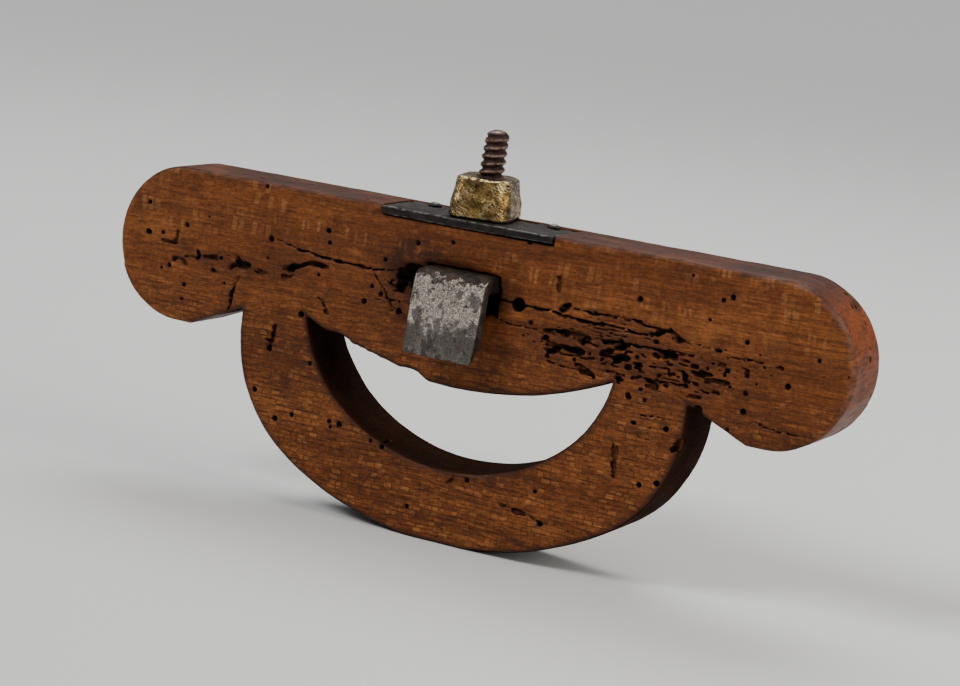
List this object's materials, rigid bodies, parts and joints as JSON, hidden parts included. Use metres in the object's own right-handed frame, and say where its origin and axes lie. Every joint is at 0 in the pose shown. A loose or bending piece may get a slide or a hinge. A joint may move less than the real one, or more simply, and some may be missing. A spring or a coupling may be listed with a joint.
{
  "type": "router plane",
  "caption": "D-shaped wooden router plane with round end lobes, a crescent hand hole and an L-shaped steel cutter held by a nut on a threaded stud.",
  "frame": {"origin": "mid length, on the line through the two lobes' centres, in the plane of the flat rear face", "axes": "+X along the stock, +Y out of the rear face and so away from the sole that the cutter stands out of, +Z along the stud towards the nut, away from the bow"},
  "size_m": [0.264, 0.07, 0.1329],
  "materials": {
    "beech": "old waxed beech, oxidised, worm-eaten",
    "plate_iron": "dark wrought iron, lightly rusted",
    "stud_iron": "rusty brown iron",
    "brass": "scratched and filed, brown patina",
    "steel": "pitted and scratched, bright grey"
  },
  "bodies": {
    "stock": {"stock": "beech", "bolt_plate": "plate_iron", "plate_nails": "plate_iron"},
    "nut": {"nut": "brass"},
    "eyebolt": {"eyebolt": "stud_iron"},
    "cutter": {"cutter": "steel"}
  },
  "joints": [
    {"name": "nut_turn", "type": "hinge", "parent": "stock", "child": "nut", "pos_m": [0, -0.0115, 0.02605], "axis": [0, 0, 1], "range_deg": [0, 360]},
    {"name": "bolt_drop", "type": "slide", "parent": "stock", "child": "eyebolt", "axis": [0, 0, -1], "range_m": [0, 0.00254]},
    {"name": "cutter_slide", "type": "slide", "parent": "stock", "child": "cutter", "axis": [0, -1, 0], "range_m": [-0.0028, 0.025]}
  ],
  "couplings": [
    {"joint": "nut_turn", "follows": "bolt_drop", "rad_per_m": 2473.7}
  ]
}
